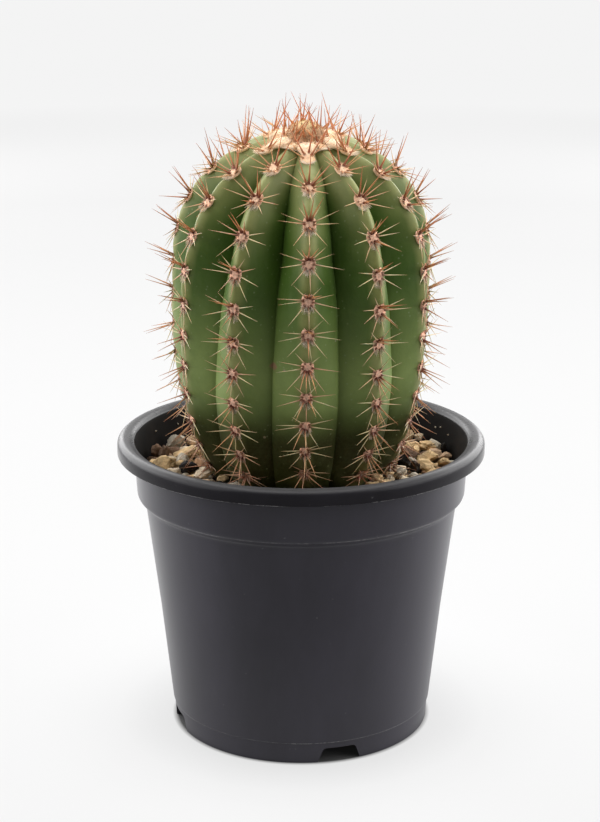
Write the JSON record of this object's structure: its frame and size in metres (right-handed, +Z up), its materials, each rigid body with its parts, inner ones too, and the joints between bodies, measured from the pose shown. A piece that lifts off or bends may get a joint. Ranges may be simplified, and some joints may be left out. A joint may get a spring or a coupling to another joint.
{
  "type": "potted column cactus",
  "caption": "Ribbed column cactus with spined areoles standing in gravel-topped potting mix in a round black nursery pot.",
  "frame": {"origin": "centre of the pot's foot, on the surface that the pot stands on", "axes": "+Z up along the pot's axis, -Y towards the viewer of the picture, +X to the viewer's right"},
  "size_m": [0.1514, 0.1514, 0.263],
  "materials": {
    "pot_plastic": "satin black, moulded",
    "pumice_grit": "loose pumice and lava stones over dark grit",
    "cactus_flesh": "satin green skin with brown spines"
  },
  "bodies": {
    "root": {"pot": "pot_plastic", "potting_mix": "pumice_grit", "cactus": "cactus_flesh"}
  },
  "joints": []
}
